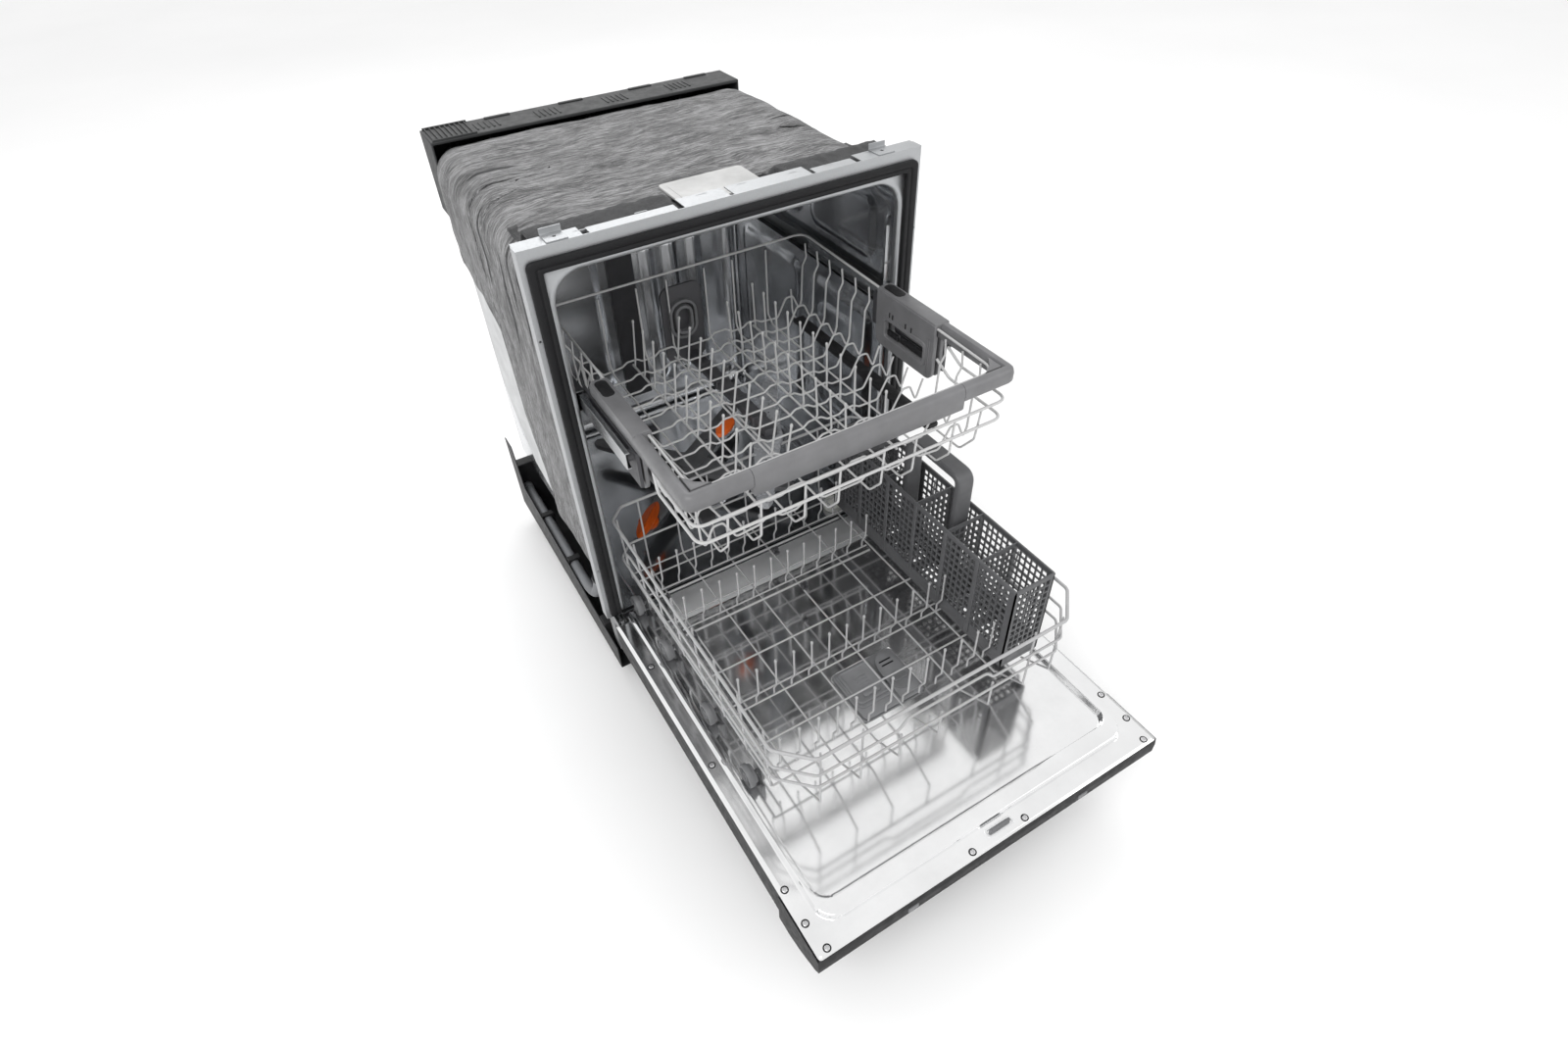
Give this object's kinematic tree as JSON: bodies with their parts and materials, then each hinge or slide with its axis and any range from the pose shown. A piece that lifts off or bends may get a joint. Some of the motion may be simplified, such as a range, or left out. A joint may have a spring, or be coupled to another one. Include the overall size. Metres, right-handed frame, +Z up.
{
  "type": "built in dishwasher",
  "caption": "Built-in dishwasher with its door down and both wire racks drawn out, steel tub, felt-wrapped cabinet, cutlery basket and spray arms.",
  "frame": {"origin": "centre of the whole open appliance on the floor", "axes": "+Z up, front and open door towards -Y, +X to the right seen from the front"},
  "size_m": [0.599, 1.2215, 0.85],
  "materials": {
    "stainless": "polished sheet",
    "galvanised": "galvanised sheet",
    "seal_rubber": "matte",
    "felt": "mottled felt",
    "white_sheet": "matte film",
    "cover_plastic": "fine grain",
    "label_stock": "satin",
    "base_black": "satin",
    "bracket_steel": "dark plated",
    "foot_plastic": "satin",
    "sump_plastic": "satin",
    "filter_steel": "fine perforated",
    "grey_plastic": "satin",
    "pump_plastic": "satin",
    "natural_plastic": "satin",
    "hose_grey": "satin",
    "slide_steel": "plated",
    "orange_plastic": "satin",
    "nylon_light": "nylon-coated wire",
    "nylon_grey": "nylon-coated wire",
    "handle_grey": "satin metallic grey",
    "arm_clear": "translucent grey",
    "bar_black": "satin",
    "clip_grey": "satin",
    "basket_grey": "satin",
    "door_black": "satin black",
    "board_green": "solder mask",
    "button_grey": "satin",
    "screw_steel": "plated",
    "dispenser_grey": "satin"
  },
  "bodies": {
    "cabinet": {"tub": "stainless", "tub_front_flange": "galvanised", "tub_gasket": "seal_rubber", "insulation_blanket": "felt", "side_sheets": "white_sheet", "rear_top_cover": "cover_plastic", "label_plate": "label_stock", "top_brackets": "galvanised", "base_frame": "base_black", "hinge_brackets": "bracket_steel", "toe_kick": "base_black", "sump": "sump_plastic", "filter_plate": "filter_steel", "circulation_pump": "pump_plastic", "drain_pump": "natural_plastic", "inlet_valve": "natural_plastic", "drain_hose": "hose_grey", "hose_clips": "base_black", "junction_box": "galvanised", "supply_duct": "sump_plastic", "ceiling_nozzle": "sump_plastic", "rack_rails": "sump_plastic"},
    "foot_left": {"foot_left": "foot_plastic"},
    "foot_right": {"foot_right": "foot_plastic"},
    "filter_cup": {"filter_cup": "grey_plastic"},
    "float": {"overfill_float": "natural_plastic"},
    "lower_arm": {"lower_spray_arm": "grey_plastic"},
    "satellite": {"arm_satellite": "orange_plastic"},
    "rail_slides": {"rail_slides": "slide_steel"},
    "rack_carriers": {"rack_carriers": "grey_plastic"},
    "upper_rack": {"upper_rack_wires": "nylon_light", "upper_rack_handle": "handle_grey", "rack_adjusters": "handle_grey", "upper_feed_tube": "grey_plastic", "shelf_bars": "bar_black"},
    "upper_tines_left": {"upper_tines_left": "nylon_light"},
    "upper_tines_right": {"upper_tines_right": "nylon_light"},
    "upper_arm": {"upper_spray_arm": "arm_clear"},
    "door": {"door_liner": "stainless", "door_outer_panel": "door_black", "door_console": "door_black", "control_board": "board_green", "door_screws": "screw_steel", "dispenser_body": "dispenser_grey", "door_hinge_arms": "bracket_steel"},
    "power_button": {"power_button": "button_grey"},
    "start_button": {"start_button": "button_grey"},
    "latch": {"door_latch": "grey_plastic"},
    "dispenser_lid": {"dispenser_lid": "dispenser_grey"},
    "rinse_cap": {"rinse_cap": "grey_plastic"},
    "lower_rack": {"lower_rack_rims": "nylon_grey", "lower_rack_floor": "nylon_grey", "rack_clips": "clip_grey"},
    "lower_tines_rear": {"lower_tines_rear": "nylon_grey"},
    "lower_tines_middle": {"lower_tines_middle": "nylon_grey"},
    "basket": {"cutlery_basket": "basket_grey"},
    "wheels_1": {"wheels_1": "clip_grey"},
    "wheels_2": {"wheels_2": "clip_grey"},
    "wheels_3": {"wheels_3": "clip_grey"},
    "wheels_4": {"wheels_4": "clip_grey"}
  },
  "joints": [
    {"name": "door_hinge", "type": "hinge", "parent": "cabinet", "child": "door", "pos_m": [0, 0.028, 0.178], "axis": [-1, 0, 0], "range_deg": [0, 4.5]},
    {"name": "upper_rack_slide", "type": "slide", "parent": "cabinet", "child": "rack_carriers", "axis": [0, -1, 0], "range_m": [-0.3, 0]},
    {"name": "upper_rail_extend", "type": "slide", "parent": "cabinet", "child": "rail_slides", "axis": [0, -1, 0], "range_m": [-0.15, 0]},
    {"name": "upper_rack_height", "type": "slide", "parent": "rack_carriers", "child": "upper_rack", "axis": [0, 0, 1], "range_m": [0, 0.045]},
    {"name": "lower_rack_slide", "type": "slide", "parent": "door", "child": "lower_rack", "axis": [0, -1, 0], "range_m": [-0.498, 0]},
    {"name": "wheel_1_roll", "type": "hinge", "parent": "lower_rack", "child": "wheels_1", "pos_m": [0, 0.028, 0.1993], "axis": [1, 0, 0], "continuous": true},
    {"name": "wheel_2_roll", "type": "hinge", "parent": "lower_rack", "child": "wheels_2", "pos_m": [0, -0.085, 0.1993], "axis": [1, 0, 0], "continuous": true},
    {"name": "wheel_3_roll", "type": "hinge", "parent": "lower_rack", "child": "wheels_3", "pos_m": [0, -0.229, 0.1993], "axis": [1, 0, 0], "continuous": true},
    {"name": "wheel_4_roll", "type": "hinge", "parent": "lower_rack", "child": "wheels_4", "pos_m": [0, -0.351, 0.1993], "axis": [1, 0, 0], "continuous": true},
    {"name": "lower_arm_spin", "type": "hinge", "parent": "cabinet", "child": "lower_arm", "pos_m": [0, 0.318, 0.194], "axis": [0, 0, 1], "continuous": true},
    {"name": "satellite_spin", "type": "hinge", "parent": "lower_arm", "child": "satellite", "pos_m": [-0.14499, 0.20472, 0.1984], "axis": [0, 0, 1], "continuous": true},
    {"name": "upper_arm_spin", "type": "hinge", "parent": "upper_rack", "child": "upper_arm", "pos_m": [0, -0.007, 0.473], "axis": [0, 0, 1], "continuous": true},
    {"name": "upper_tines_left_fold", "type": "hinge", "parent": "upper_rack", "child": "upper_tines_left", "pos_m": [-0.114, 0.033, 0.5192], "axis": [0, -1, 0], "range_deg": [0, 62]},
    {"name": "upper_tines_right_fold", "type": "hinge", "parent": "upper_rack", "child": "upper_tines_right", "pos_m": [0.114, 0.033, 0.5192], "axis": [0, 1, 0], "range_deg": [0, 62]},
    {"name": "lower_tines_rear_fold", "type": "hinge", "parent": "lower_rack", "child": "lower_tines_rear", "pos_m": [0, 0, 0.2282], "axis": [1, 0, 0], "range_deg": [0, 80]},
    {"name": "lower_tines_middle_fold", "type": "hinge", "parent": "lower_rack", "child": "lower_tines_middle", "pos_m": [0, -0.098, 0.2282], "axis": [1, 0, 0], "range_deg": [0, 80]},
    {"name": "basket_lift", "type": "slide", "parent": "lower_rack", "child": "basket", "axis": [0, 0, 1], "range_m": [0, 0.018]},
    {"name": "dispenser_lid_slide", "type": "slide", "parent": "door", "child": "dispenser_lid", "axis": [-1, 0, 0], "range_m": [0, 0.045]},
    {"name": "rinse_cap_turn", "type": "hinge", "parent": "door", "child": "rinse_cap", "pos_m": [0.039, -0.328, 0.183], "axis": [0, 0, 1], "range_deg": [0, 90]},
    {"name": "latch_press", "type": "slide", "parent": "door", "child": "latch", "axis": [0, 0, -1], "range_m": [0, 0.004], "stiffness_N_per_m": 400},
    {"name": "power_button_press", "type": "slide", "parent": "door", "child": "power_button", "axis": [0, 1, 0], "range_m": [0, 0.002], "stiffness_N_per_m": 400},
    {"name": "start_button_press", "type": "slide", "parent": "door", "child": "start_button", "axis": [0, 1, 0], "range_m": [0, 0.002], "stiffness_N_per_m": 400},
    {"name": "filter_cup_turn", "type": "hinge", "parent": "cabinet", "child": "filter_cup", "pos_m": [0.046, 0.284, 0.104], "axis": [0, 0, 1], "range_deg": [-60, 0]},
    {"name": "float_rise", "type": "slide", "parent": "cabinet", "child": "float", "axis": [0, 0, 1], "range_m": [0, 0.012]},
    {"name": "foot_left_turn", "type": "hinge", "parent": "cabinet", "child": "foot_left", "pos_m": [-0.262, 0.117, 0], "axis": [0, 0, 1], "continuous": true},
    {"name": "foot_right_turn", "type": "hinge", "parent": "cabinet", "child": "foot_right", "pos_m": [0.262, 0.117, 0], "axis": [0, 0, 1], "continuous": true}
  ],
  "couplings": [
    {"joint": "upper_rail_extend", "follows": "upper_rack_slide", "ratio": 0.5},
    {"joint": "wheel_1_roll", "follows": "lower_rack_slide", "rad_per_m": 55.556},
    {"joint": "wheel_2_roll", "follows": "lower_rack_slide", "rad_per_m": 55.556},
    {"joint": "wheel_3_roll", "follows": "lower_rack_slide", "rad_per_m": 55.556},
    {"joint": "wheel_4_roll", "follows": "lower_rack_slide", "rad_per_m": 55.556}
  ]
}
